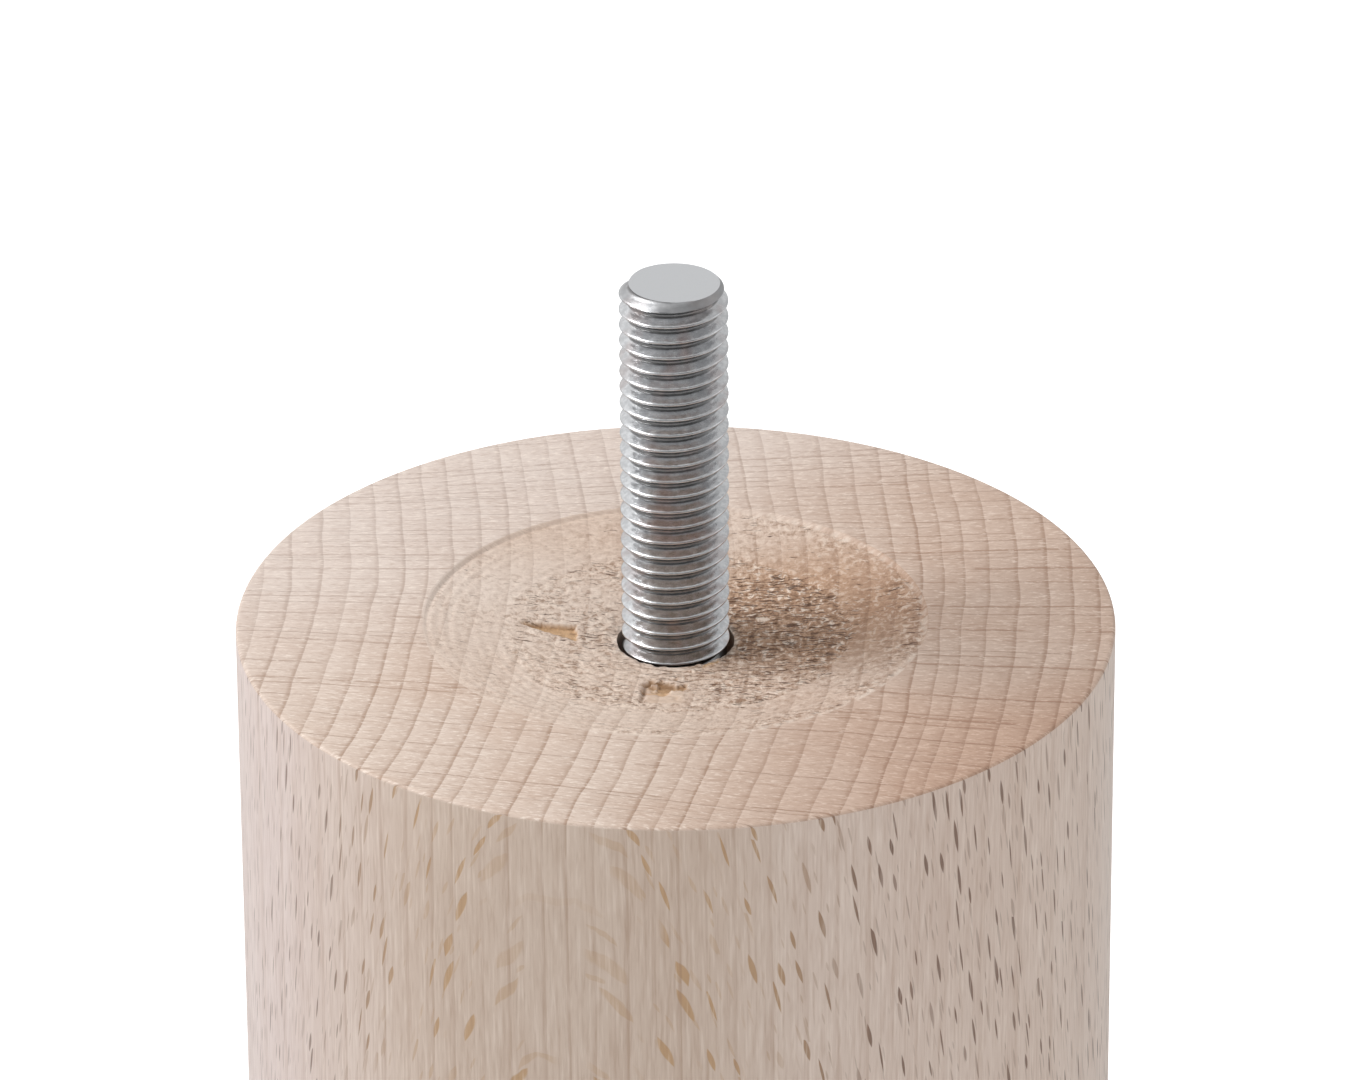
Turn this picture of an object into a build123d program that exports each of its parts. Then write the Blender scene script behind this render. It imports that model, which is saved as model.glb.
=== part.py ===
"""A turned beech furniture leg with a steel hanger bolt.

The leg is one piece of solid beech: a straight cylinder, with a shallow dish turned into its
seat face so that it bears on its outer ring. The bolt is one piece of zinc-plated steel: a
metric machine thread above, which goes into the furniture, a plain neck, and a coarse wood
thread below, which is driven into the leg's end grain and holds the two together.

Millimetres. +Z runs up the leg's axis, and the origin is the centre of the foot face.
"""

import math
import os

from build123d import *

# The leg: a straight cylinder, cut square at both ends
LEG_DIAMETER = 65.0
LEG_HEIGHT = 100.0
SEAT_EDGE_CHAMFER = 0.3
FOOT_EDGE_CHAMFER = 2.0

# The dish in its seat face: a small step at the rim, then a shallow crowned floor
DISH_DIAMETER = 37.4
DISH_STEP = 0.3
DISH_STEP_RUN = 0.6
DISH_FLOOR_DEPTH = 1.55

# The bolt, by its lengths from the upper end down
BOLT_PROJECTION = 27.4
MACHINE_THREAD_LENGTH = 29.0
MACHINE_RUNOUT_LENGTH = 2.5
NECK_LENGTH = 10.0
WOOD_THREAD_LENGTH = 21.5
POINT_LENGTH = 7.0

# Its machine thread is M8 x 1.25, right hand. The solid has the thread's outer cylinder
MACHINE_DIAMETER = 8.0
MACHINE_PITCH = 1.25
END_FLAT_DIAMETER = 6.8
END_CHAMFER_ANGLE = 45.0

# The neck is the bare rod that the thread was rolled on, as thick as its pitch cylinder
PITCH_CYLINDER_DROP = 0.6495
NECK_DIAMETER = MACHINE_DIAMETER - PITCH_CYLINDER_DROP * MACHINE_PITCH

# Its wood thread: a sharp ridge, right hand, wound on a thinner core
WOOD_THREAD_DIAMETER = 8.0
WOOD_CORE_DIAMETER = 5.6
WOOD_THREAD_PITCH = 3.6
WOOD_THREAD_ANGLE = 60.0
POINT_TIP_DIAMETER = 0.6

# The ridge is rooted this deep in the core, and stops this far short of the core's ends
RIDGE_ROOT_DEPTH = 0.1
RIDGE_END_SPACE = 0.8

# The bolt's hole in the leg: the neck is a tight fit, and the wood clears both threads
CLEARANCE_HOLE_GAP = 0.35
WOOD_THREAD_GAP = 0.03
HOLE_BOTTOM_GAP = 1.5
DRILL_POINT_ANGLE = 118.0

# A cutter passes the face that it opens by this much
CUTTER_OVERRUN = 1.0

BOLT_TOP = LEG_HEIGHT + BOLT_PROJECTION
RUNOUT_TOP = BOLT_TOP - MACHINE_THREAD_LENGTH
NECK_TOP = RUNOUT_TOP - MACHINE_RUNOUT_LENGTH
WOOD_THREAD_TOP = NECK_TOP - NECK_LENGTH
POINT_TOP = WOOD_THREAD_TOP - WOOD_THREAD_LENGTH
BOLT_TIP = POINT_TOP - POINT_LENGTH


def turned(points):
    """A solid turned about the Z axis from the (radius, height) corners of its half outline."""
    outline = Polyline(*[(radius, 0, height) for radius, height in points], close=True)
    return revolve(make_face(outline), Axis.Z)


def wood_thread_ridge(gap):
    """The wood thread's helical ridge, grown by a gap all round to make the groove it needs."""
    flank = math.radians(WOOD_THREAD_ANGLE / 2)
    crest_radius = WOOD_THREAD_DIAMETER / 2 + gap / math.sin(flank)
    ridge_height = crest_radius - (WOOD_CORE_DIAMETER / 2 + gap - RIDGE_ROOT_DEPTH)
    half_root = ridge_height * math.tan(flank)
    low = POINT_TOP + RIDGE_END_SPACE - gap
    high = WOOD_THREAD_TOP - RIDGE_END_SPACE + gap
    helix = Helix(
        pitch=WOOD_THREAD_PITCH, height=high - low, radius=crest_radius, center=(0, 0, low)
    )
    section = Plane(origin=helix @ 0, x_dir=(1, 0, 0), z_dir=helix % 0) * make_face(
        Polyline((-ridge_height, -half_root), (0, 0), (-ridge_height, half_root), close=True)
    )
    start_angle = -360 * gap / WOOD_THREAD_PITCH
    return Rotation(0, 0, start_angle) * sweep(section, path=helix, is_frenet=True)


def hanger_bolt():
    """The bolt, in one piece: machine thread, run-out, neck, wood thread and point."""
    machine_radius = MACHINE_DIAMETER / 2
    neck_radius = NECK_DIAMETER / 2
    core_radius = WOOD_CORE_DIAMETER / 2
    flat_radius = END_FLAT_DIAMETER / 2
    chamfer_depth = (machine_radius - flat_radius) * math.tan(math.radians(END_CHAMFER_ANGLE))
    shaft = turned(
        [
            (0, BOLT_TOP),
            (flat_radius, BOLT_TOP),
            (machine_radius, BOLT_TOP - chamfer_depth),
            (machine_radius, RUNOUT_TOP),
            (neck_radius, NECK_TOP),
            (neck_radius, WOOD_THREAD_TOP),
            (core_radius, WOOD_THREAD_TOP),
            (core_radius, POINT_TOP),
            (POINT_TIP_DIAMETER / 2, BOLT_TIP),
            (0, BOLT_TIP),
        ]
    )
    return shaft + wood_thread_ridge(0)


def bolt_hole():
    """What the bolt's hole takes out of the leg: the drilled steps and the thread's groove."""
    clearance_radius = MACHINE_DIAMETER / 2 + CLEARANCE_HOLE_GAP
    neck_radius = NECK_DIAMETER / 2
    pilot_radius = WOOD_CORE_DIAMETER / 2 + WOOD_THREAD_GAP
    hole_bottom = BOLT_TIP - HOLE_BOTTOM_GAP
    drill_point = pilot_radius / math.tan(math.radians(DRILL_POINT_ANGLE / 2))
    drilled = turned(
        [
            (0, LEG_HEIGHT + CUTTER_OVERRUN),
            (clearance_radius, LEG_HEIGHT + CUTTER_OVERRUN),
            (clearance_radius, NECK_TOP),
            (neck_radius, NECK_TOP),
            (neck_radius, WOOD_THREAD_TOP),
            (pilot_radius, WOOD_THREAD_TOP),
            (pilot_radius, hole_bottom),
            (0, hole_bottom - drill_point),
        ]
    )
    return drilled + wood_thread_ridge(WOOD_THREAD_GAP)


def seat_dish():
    """What the facing cutter takes out of the seat face: the rim's step and the crowned floor."""
    rim_radius = DISH_DIAMETER / 2
    floor_radius = rim_radius - DISH_STEP_RUN
    floor_rim = LEG_HEIGHT - DISH_STEP
    deepest = floor_rim - DISH_FLOOR_DEPTH
    sphere_radius = (floor_radius**2 + DISH_FLOOR_DEPTH**2) / (2 * DISH_FLOOR_DEPTH)
    half_turn = math.asin(floor_radius / sphere_radius) / 2
    halfway = (
        sphere_radius * math.sin(half_turn),
        0,
        deepest + sphere_radius * (1 - math.cos(half_turn)),
    )
    rim = Polyline(
        (0, 0, deepest),
        (0, 0, LEG_HEIGHT + CUTTER_OVERRUN),
        (rim_radius, 0, LEG_HEIGHT + CUTTER_OVERRUN),
        (rim_radius, 0, LEG_HEIGHT),
        (floor_radius, 0, floor_rim),
    )
    floor = ThreePointArc((floor_radius, 0, floor_rim), halfway, (0, 0, deepest))
    return revolve(make_face(rim + floor), Axis.Z)


def leg_body():
    """The turned leg, with its edges eased, its seat dished and the bolt's hole in it."""
    blank = Cylinder(
        LEG_DIAMETER / 2, LEG_HEIGHT, align=(Align.CENTER, Align.CENTER, Align.MIN)
    )
    seat_rim = blank.edges().filter_by(GeomType.CIRCLE).sort_by(Axis.Z)[-1]
    blank = chamfer(seat_rim, SEAT_EDGE_CHAMFER)
    foot_rim = blank.edges().filter_by(GeomType.CIRCLE).sort_by(Axis.Z)[0]
    blank = chamfer(foot_rim, FOOT_EDGE_CHAMFER)
    return blank - seat_dish() - bolt_hole()


NODES = {"leg_body": leg_body, "hanger_bolt": hanger_bolt}

os.makedirs("parts", exist_ok=True)
for name, make in NODES.items():
    export_step(make(), f"parts/{name}.step")
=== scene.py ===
"""A turned beech furniture leg with its zinc-plated hanger bolt, seen from above on white."""

import math

import bmesh
import bpy
import numpy as np
from mathutils import Matrix, Vector


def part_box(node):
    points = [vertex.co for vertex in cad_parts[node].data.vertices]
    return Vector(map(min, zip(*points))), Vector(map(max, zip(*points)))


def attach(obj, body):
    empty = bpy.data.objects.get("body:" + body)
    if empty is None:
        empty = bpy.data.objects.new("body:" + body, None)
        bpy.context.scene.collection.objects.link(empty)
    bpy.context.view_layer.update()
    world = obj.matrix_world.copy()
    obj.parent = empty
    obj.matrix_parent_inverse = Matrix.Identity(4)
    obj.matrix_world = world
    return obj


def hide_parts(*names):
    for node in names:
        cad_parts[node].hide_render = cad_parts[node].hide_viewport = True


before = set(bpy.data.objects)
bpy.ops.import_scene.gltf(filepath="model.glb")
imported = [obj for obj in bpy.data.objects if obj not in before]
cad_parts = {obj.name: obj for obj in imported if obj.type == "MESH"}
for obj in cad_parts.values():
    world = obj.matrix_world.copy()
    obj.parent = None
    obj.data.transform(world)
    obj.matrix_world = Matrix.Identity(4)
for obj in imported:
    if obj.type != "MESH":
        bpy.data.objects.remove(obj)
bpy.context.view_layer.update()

MM = 0.001


# The leg itself: one piece of solid beech, bare and unfinished. It was turned to a straight
# cylinder and cut off square, and a facing cutter has hollowed a shallow dish into the seat
# end round the bolt's hole. The cutter tore the end grain there, and the dish shows it.
leg_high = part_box("leg_body")[1]
LEG_RADIUS = leg_high.x
SEAT_HEIGHT = leg_high.z
SEAT_EDGE = 0.3 * MM
FOOT_CHAMFER = 2.0 * MM
DISH_RADIUS = 18.7 * MM
DISH_STEP = 0.3 * MM
DISH_STEP_RUN = 0.6 * MM
DISH_FLOOR_DEPTH = 1.55 * MM
HOLE_RADIUS = 4.35 * MM
HOLE_FLOOR = 95.9 * MM
NECK_RADIUS = 3.594 * MM
NECK_FLOOR = 85.9 * MM
WOOD_CORE_RADIUS = 2.8 * MM
WOOD_CREST_RADIUS = 4.0 * MM
WOOD_PITCH = 3.6 * MM
WOOD_CREST_HEIGHT = 65.2 * MM
POINT_TOP = 64.4 * MM
THREAD_GAP = 0.03 * MM
PILOT_RADIUS = WOOD_CORE_RADIUS + THREAD_GAP
PILOT_FLOOR = 55.9 * MM
PILOT_POINT_RADIUS = 0.05 * MM
PILOT_POINT = 54.2 * MM

# How many faces its surfaces are divided into, round the axis and along the outline
LEG_COLUMNS = 480
THREAD_COLUMNS = 96
SIDE_ROWS = 11
EDGE_ROWS = 4
SEAT_ROWS = 23
DISH_ROWS = 117

# How far off a rim or a cut a point may lie and still count as on it
RADIUS_SLACK = 0.02 * MM
HEIGHT_SLACK = 0.001 * MM
CUT_SLACK = 0.00001 * MM


def smooth(low, high, value):
    """0 at low and 1 at high, and an even slope with soft ends between them."""
    share = np.clip((value - low) / (high - low), 0.0, 1.0)
    return share * share * (3.0 - 2.0 * share)


def speckle(across, along, seed, shift=0):
    """Soft random hills, 0 to 1 high, one for each unit of the two coordinates.

    Each seed has its own hills, and shift is how many of them are passed over.
    """
    across, along = across + shift, along + shift
    left, low = np.floor(across).astype(int), np.floor(along).astype(int)
    size = 256
    lots = np.random.default_rng(seed).random((size, size))
    part_x, part_y = smooth(0, 1, across - left), smooth(0, 1, along - low)

    def lot(i, j):
        return lots[(left + i) % size, (low + j) % size]

    below = lot(0, 0) * (1 - part_x) + lot(1, 0) * part_x
    above = lot(0, 1) * (1 - part_x) + lot(1, 1) * part_x
    return below * (1 - part_y) + above * part_y


def dish_height(radius):
    """The height of the dish's true turned form at a radius: its rim's step, then a hollow."""
    floor_radius = DISH_RADIUS - DISH_STEP_RUN
    ball = (floor_radius**2 + DISH_FLOOR_DEPTH**2) / (2 * DISH_FLOOR_DEPTH)
    if radius > floor_radius:
        return SEAT_HEIGHT - DISH_STEP * (DISH_RADIUS - radius) / DISH_STEP_RUN
    return SEAT_HEIGHT - DISH_STEP - DISH_FLOOR_DEPTH + ball - math.sqrt(ball**2 - radius**2)


def turned_surface(sheet, profile, columns):
    """Adds the surface that a row of (radius, height) points turns to."""
    angle = np.arange(columns) * 2 * math.pi / columns
    rows = [
        [sheet.verts.new((radius * math.cos(a), radius * math.sin(a), height)) for a in angle]
        for radius, height in profile
    ]
    for below, above in zip(rows, rows[1:]):
        for i in range(columns):
            j = (i + 1) % columns
            sheet.faces.new((below[i], below[j], above[j], above[i]))
    return rows


def threaded_surface(sheet, pitch, form, crest_height, low, high, radius_at):
    """Adds a right-hand screw thread's surface between two heights.

    form is one turn's outline, as (share of the pitch, share of the depth). crest_height is
    where one crest crosses the X axis. radius_at gives the radius for a height and a depth.
    The rows of the mesh climb with the thread, so its crest is one clean line.
    """
    columns, per_turn = THREAD_COLUMNS, len(form)
    first = math.floor((low - crest_height) / pitch) - 2
    turns = math.ceil((high - low) / pitch) + 5
    share = np.array([part for part, depth in form])
    climb = crest_height + pitch * (first + np.arange(turns)[:, None] + share[None, :]).ravel()
    angle = np.arange(columns) * 2 * math.pi / columns
    height = climb[:, None] + pitch * angle[None, :] / (2 * math.pi)
    depth = np.repeat(np.tile([depth for part, depth in form], turns)[:, None], columns, axis=1)
    radius = radius_at(height, depth)
    x, y = radius * np.cos(angle), radius * np.sin(angle)
    piece = bmesh.new()
    rows = [[piece.verts.new(point) for point in zip(*row)] for row in zip(x, y, height)]
    for row in range(len(rows) - per_turn - 1):
        for i in range(columns):
            j = (i + 1) % columns
            up = per_turn if j == 0 else 0
            below, above = rows[row + up], rows[row + up + 1]
            piece.faces.new((rows[row][i], below[j], above[j], rows[row + 1][i]))
    for end, outward in ((low, -1), (high, 1)):
        bmesh.ops.bisect_plane(
            piece,
            geom=piece.verts[:] + piece.edges[:] + piece.faces[:],
            dist=CUT_SLACK,
            plane_co=(0, 0, end),
            plane_no=(0, 0, outward),
            clear_outer=True,
        )
    loose = [vert for vert in piece.verts if not vert.link_faces]
    bmesh.ops.delete(piece, geom=loose, context="VERTS")
    carrier = bpy.data.meshes.new("carrier")
    piece.to_mesh(carrier)
    piece.free()
    sheet.from_mesh(carrier)
    bpy.data.meshes.remove(carrier)


def open_rim(sheet, radius, height):
    """The open edges of a surface that lie at a radius and a height."""
    def there(vert):
        off_radius = abs(math.hypot(vert.co.x, vert.co.y) - radius)
        return off_radius < RADIUS_SLACK and abs(vert.co.z - height) < HEIGHT_SLACK

    return [edge for edge in sheet.edges if edge.is_boundary and all(map(there, edge.verts))]


def join_rims(sheet, first, second):
    """Closes the gap between two open rims, each given by its radius and height."""
    bmesh.ops.bridge_loops(sheet, edges=open_rim(sheet, *first) + open_rim(sheet, *second))


def cap_rim(sheet, radius, height):
    """Closes an open rim with a flat face."""
    bmesh.ops.holes_fill(sheet, edges=open_rim(sheet, radius, height), sides=0)


def finished_mesh(sheet, name, sharp_angle):
    """Makes the surface an object with smooth faces, and sharp edges past an angle in degrees."""
    bmesh.ops.recalc_face_normals(sheet, faces=sheet.faces)
    mesh = bpy.data.meshes.new(name)
    sheet.to_mesh(mesh)
    sheet.free()
    mesh.polygons.foreach_set("use_smooth", [True] * len(mesh.polygons))
    mesh.set_sharp_from_angle(angle=math.radians(sharp_angle))
    piece = bpy.data.objects.new(name, mesh)
    bpy.context.scene.collection.objects.link(piece)
    return piece, mesh


# One turn of the wood thread: a narrow sharp ridge on a bare core
WOOD_FORM = [
    (0.0, 1.0), (0.096, 0.5), (0.193, 0.0), (0.35, 0.0), (0.5, 0.0), (0.65, 0.0), (0.807, 0.0),
    (0.904, 0.5),
]

# From either end of the thread, how far its ridge is still level with the core, and is full
RIDGE_START = 0.1 * MM
RIDGE_FULL = 1.6 * MM


def wood_thread_surface(sheet, gap):
    """Adds the wood thread's surface, or that of its groove, which is larger by a gap."""
    def radius_at(height, depth):
        ridge = smooth(POINT_TOP + RIDGE_START, POINT_TOP + RIDGE_FULL, height)
        ridge = ridge * smooth(NECK_FLOOR - RIDGE_START, NECK_FLOOR - RIDGE_FULL, height)
        return WOOD_CORE_RADIUS + gap + (WOOD_CREST_RADIUS - WOOD_CORE_RADIUS) * depth * ridge

    threaded_surface(
        sheet, WOOD_PITCH, WOOD_FORM, WOOD_CREST_HEIGHT, POINT_TOP, NECK_FLOOR, radius_at
    )


# The outline of half the leg, from the middle of the foot face up the side and down the hole
FOOT_RINGS = (0.02 * MM, 6.0 * MM, 18.0 * MM, LEG_RADIUS - FOOT_CHAMFER)
HOLE_RINGS = (97.9 * MM, 97.4 * MM, HOLE_FLOOR)
DISH_LIP = DISH_RADIUS + 0.12 * MM
side_heights = np.linspace(FOOT_CHAMFER, SEAT_HEIGHT - SEAT_EDGE, SIDE_ROWS + 1)
seat_radii = np.linspace(LEG_RADIUS - SEAT_EDGE, DISH_LIP, SEAT_ROWS + 1)
dish_radii = np.linspace(DISH_RADIUS, HOLE_RADIUS, DISH_ROWS + 1)
leg_profile = [(r, 0.0) for r in FOOT_RINGS]
leg_profile += [(LEG_RADIUS, z) for z in side_heights[:-1]]
leg_profile += [
    (LEG_RADIUS - SEAT_EDGE * (1 - math.cos(a)), SEAT_HEIGHT - SEAT_EDGE * (1 - math.sin(a)))
    for a in np.linspace(0, math.pi / 2, EDGE_ROWS + 1)
]
leg_profile += [(r, SEAT_HEIGHT) for r in seat_radii[1:]]
leg_profile += [(r, dish_height(r)) for r in dish_radii]
leg_profile += [(HOLE_RADIUS, z) for z in HOLE_RINGS]
leg_profile += [(NECK_RADIUS, HOLE_FLOOR), (NECK_RADIUS, NECK_FLOOR)]

leg_sheet = bmesh.new()
leg_rows = turned_surface(leg_sheet, leg_profile, LEG_COLUMNS)
leg_sheet.faces.new(leg_rows[0])
wood_thread_surface(leg_sheet, THREAD_GAP)
pilot_end = [(PILOT_RADIUS, PILOT_FLOOR), (PILOT_POINT_RADIUS, PILOT_POINT)]
turned_surface(leg_sheet, pilot_end, THREAD_COLUMNS)
join_rims(leg_sheet, (NECK_RADIUS, NECK_FLOOR), (PILOT_RADIUS, NECK_FLOOR))
join_rims(leg_sheet, (PILOT_RADIUS, POINT_TOP), (PILOT_RADIUS, PILOT_FLOOR))
cap_rim(leg_sheet, PILOT_POINT_RADIUS, PILOT_POINT)
leg, leg_mesh = finished_mesh(leg_sheet, "turned_leg", sharp_angle=40)

# Where the tree's heart lay, from the leg's axis
HEART = Vector((-157.0, 10.0)) * MM


def grain_place(x, y):
    """Millimetres out from the heart, and millimetres round it."""
    outward = np.hypot(x - HEART.x, y - HEART.y)
    around = np.arctan2(y - HEART.y, x - HEART.x) * abs(HEART.x)
    return outward / MM, around / MM


# The cutter's marks in the dish, in millimetres: how far its step is smoothed away at the front,
# fine waves, one groove, and torn fibres and crumbs of wood
STEP_SOFTENED = 0.24
WAVE_LENGTH = 0.85
WAVE_HEIGHT = 0.035
GROOVE_RADIUS = 12.7
GROOVE_HALF_WIDTH = 0.35
GROOVE_DEPTH = 0.09
FIBRE_HEIGHT = 0.09
CRUMB_HEIGHT = 0.09


def rim_strength(turn):
    """Where the dish's rim is frayed, by the angle round the axis: at its right half."""
    return smooth(-0.35, 0.45, np.cos(turn + 0.25))


def torn_grain(x, y):
    """The cutter's work in the dish: the relief it left, in metres, and how torn the wood is."""
    radius, turn = np.hypot(x, y) / MM, np.arctan2(y, x)
    outward, around = grain_place(x, y)
    x, y = x / MM, y / MM
    rim, step, step_run = DISH_RADIUS / MM, DISH_STEP / MM, DISH_STEP_RUN / MM

    # Torn most inside the groove and close by the bolt at its right, in slanting patches
    slant_x, slant_y = 0.8 * x + 0.6 * y, 0.8 * y - 0.6 * x
    patchy = 0.65 + 0.75 * speckle(slant_x / 2.3, slant_y / 1.7, seed=13, shift=40)
    uneven = speckle(x / 1.3, y / 1.3, seed=12, shift=40) - 0.5
    inner = smooth(13.1, 12.5, radius + 0.7 * uneven)
    to_right = smooth(-4.0, 5.0, x)
    by_bolt = smooth(8.5, 3.0, np.hypot(x - 7.5, (y - 1.8) * 1.2))
    frayed_rim = smooth(1.7, 0.3, np.abs(radius - 17.7)) * rim_strength(turn)
    torn = inner * (0.56 + 0.3 * to_right) * patchy + 0.25 * by_bolt
    torn = torn + (1 - inner) * (0.26 + 0.12 * to_right) * patchy + 0.2 * frayed_rim * patchy
    torn = np.clip(torn, 0, 1) * smooth(rim, rim - 0.4, radius)

    # The cutter's step is crisp at the back and nearly gone at the front
    at_back = smooth(-0.6, 0.3, np.cos(turn - math.radians(80)))
    down_step = np.clip((rim - radius) / step_run, 0, 1)
    softened = STEP_SOFTENED * (1 - at_back) * down_step * smooth(13.5, rim - step_run, radius)
    crisp = step * smooth(rim, rim - 0.3, radius) - step * down_step
    softened = softened - crisp * at_back * smooth(rim - 0.7, rim - step_run, radius)

    waves = np.sin(2 * math.pi * radius / WAVE_LENGTH) * speckle(radius / 1.7, around / 9, seed=3)
    waves = WAVE_HEIGHT * waves * (1 - 0.8 * to_right) * smooth(rim - 0.2, rim - 1.2, radius)
    groove = smooth(GROOVE_HALF_WIDTH, 0.0, np.abs(radius - GROOVE_RADIUS)) * to_right
    fibres = FIBRE_HEIGHT * (speckle(outward / 0.8, around / 0.2, seed=4) - 0.5)
    crumbs = CRUMB_HEIGHT * (speckle(outward / 0.3, around / 0.2, seed=5) - 0.5)
    height = softened + waves - GROOVE_DEPTH * groove + torn * (fibres + crumbs)
    return height * MM, torn


def broken_out(x, y):
    """Where wood broke out of the dish: how deep, how bare the break is, and its painted shade and
    dark streaks.
    """
    ragged = speckle(x / (0.35 * MM), y / (0.3 * MM), seed=8, shift=90) - 0.5
    x, y = x / MM, y / MM

    # A wedge left of the bolt: it starts at a point, and its right end and back edge are steep
    left, length, back = -11.7, 4.3, 2.0
    along = (x - left) / length
    front = back - 2.35 * np.clip(along, 0, 1) ** 0.9 + 0.2 * ragged
    wedge = smooth(0.0, 0.08, along) * smooth(1.03, 0.99, along + 0.06 * ragged)
    wedge *= smooth(back + 0.15, back, y) * smooth(front - 0.12, front + 0.1, y)
    edge_shade_and_streaks = 0.8 * smooth(0.6, 0.8, speckle(x / 1.5, y / 0.25, seed=15))
    edge_shade_and_streaks = wedge * (0.5 * smooth(1.6, 1.95, y) + edge_shade_and_streaks)

    # A ragged nick in front of the bolt, a thin scar at its left end, and a splinter
    coarse = speckle(x / 0.8, y / 0.7, seed=11, shift=90) - 0.5
    nick = smooth(1.6, 1.0, np.abs(x + 0.9 + ragged))
    nick *= smooth(-6.8, -7.2, y + 0.9 * ragged + 1.4 * coarse)
    nick *= smooth(-9.6, -8.0, y + 1.4 * ragged + 2.2 * coarse)
    scar = smooth(0.26, 0.06, np.abs(x + 2.35 - 0.09 * (y + 9.0)))
    scar *= smooth(2.1, 1.5, np.abs(y + 9.0))
    splinter = smooth(0.75, 0.45, np.abs(x - 2.6))
    splinter *= smooth(0.28, 0.1, np.abs(y + 4.1 - 0.7 * (x - 2.6)))

    depth = wedge * (0.12 + 0.25 * smooth(0.2, 1.9, y)) + 0.3 * nick + 0.2 * scar - 0.15 * splinter
    bare = np.maximum(np.maximum(wedge, 0.9 * nick), 0.9 * splinter)
    # shade is painted shade along the back edges of the wedge and the nick and in the scar, with
    # the wedge's dark streaks
    shade = np.maximum(0.7 * scar, nick * smooth(-8.8, -7.4, y))
    shade = np.maximum(np.clip(edge_shade_and_streaks, 0, 1), shade)
    return depth * MM, bare, shade


# Every point of the dish is moved up or down, and told how its wood looks
RIM_SLACK = 0.01 * MM
BELOW_DISH = 98.1 * MM
CHIP_DEPTH = 0.12 * MM
place = np.empty(len(leg_mesh.vertices) * 3)
leg_mesh.vertices.foreach_get("co", place)
x, y, z = place.reshape(-1, 3).T
radius, turn = np.hypot(x, y), np.arctan2(y, x)
in_dish = (radius < DISH_RADIUS - RIM_SLACK) & (radius > HOLE_RADIUS - RIM_SLACK)
in_dish &= z > BELOW_DISH
added, torn = torn_grain(x, y)
missing, bare, shade = broken_out(x, y)

# In front of the nick is a smooth pale facet
facet = smooth(1.5, 1.2, np.abs(x / MM + 0.8)) * smooth(1.3, 0.9, np.abs(y / MM + 9.9))
torn = torn * (1 - 0.8 * facet)
bare = np.maximum(bare, 0.2 * facet)

# The hole's mouth is chipped, and pale fuzz stands along the frayed rim, partly a painted
# highlight where the rim's step faces the key light
rim_chips = speckle(turn * 9 + 90, radius / (0.4 * MM), seed=9)
rim_chips *= smooth(5.0, 4.36, radius / MM)
fuzz_and_highlight = smooth(0.55, 0.1, np.abs(radius / MM - 18.4)) * rim_strength(turn)
fuzz_and_highlight *= smooth(0.4, 0.75, speckle(x / (0.35 * MM), y / (0.3 * MM), seed=10, shift=90))
chips = np.maximum(0.7 * rim_chips, 0.4 * fuzz_and_highlight)

new_z = np.minimum(z + added - missing - CHIP_DEPTH * rim_chips, SEAT_HEIGHT)
z = np.where(in_dish, new_z, z)
leg_mesh.vertices.foreach_set("co", np.stack([x, y, z], axis=1).ravel())
for name, values in (("torn", torn), ("bare", bare), ("shade", shade), ("chips", chips)):
    field = leg_mesh.attributes.new(name, "FLOAT", "POINT")
    field.data.foreach_set("value", (values * in_dish).astype(np.float32))


def feed(tree, socket, value):
    """Gives a socket a value, or joins another node's output to it."""
    if isinstance(value, bpy.types.NodeSocket):
        tree.links.new(value, socket)
    else:
        socket.default_value = value


def calc(tree, operation, *values):
    """One step of arithmetic."""
    node = tree.nodes.new("ShaderNodeMath")
    node.operation = operation
    for socket, value in zip(node.inputs, values):
        feed(tree, socket, value)
    return node.outputs[0]


def ease(tree, value, low, high, bottom=0.0, top=1.0):
    """A smooth step of a value between two levels."""
    node = tree.nodes.new("ShaderNodeMapRange")
    node.interpolation_type = "SMOOTHSTEP"
    for socket, given in zip(node.inputs, (value, low, high, bottom, top)):
        feed(tree, socket, given)
    return node.outputs[0]


def point(tree, *values_and_sizes):
    """A vector from (value, size) pairs, each value divided by its size."""
    node = tree.nodes.new("ShaderNodeCombineXYZ")
    for socket, (value, size) in zip(node.inputs, values_and_sizes):
        feed(tree, socket, calc(tree, "DIVIDE", value, size))
    return node.outputs[0]


def parts_of(tree, vector):
    """The three values of a vector."""
    node = tree.nodes.new("ShaderNodeSeparateXYZ")
    feed(tree, node.inputs[0], vector)
    return node.outputs[0], node.outputs[1], node.outputs[2]


def cloud(tree, vector, detail=2.0, roughness=0.5):
    """Soft noise with one hill for each unit of the vector, as a value and as a colour."""
    node = tree.nodes.new("ShaderNodeTexNoise")
    node.inputs["Scale"].default_value = 1.0
    node.inputs["Detail"].default_value = detail
    node.inputs["Roughness"].default_value = roughness
    feed(tree, node.inputs["Vector"], vector)
    return node.outputs["Fac"], node.outputs["Color"]


# A mix node has sockets for numbers, vectors and colours, and these are the ones for colours
MIX_SHARE, MIX_FIRST, MIX_SECOND, MIX_RESULT = 0, 6, 7, 2


def blend(tree, share, first, second, mode="MIX"):
    """A share of the way from one colour to another, or to the two multiplied."""
    node = tree.nodes.new("ShaderNodeMix")
    node.data_type, node.blend_type = "RGBA", mode
    feed(tree, node.inputs[MIX_SHARE], share)
    feed(tree, node.inputs[MIX_FIRST], first)
    feed(tree, node.inputs[MIX_SECOND], second)
    return node.outputs[MIX_RESULT]


def tinted(tree, share, colour, tint):
    """A colour multiplied by a tint, by a share."""
    return blend(tree, share, colour, tint, "MULTIPLY")


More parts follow.
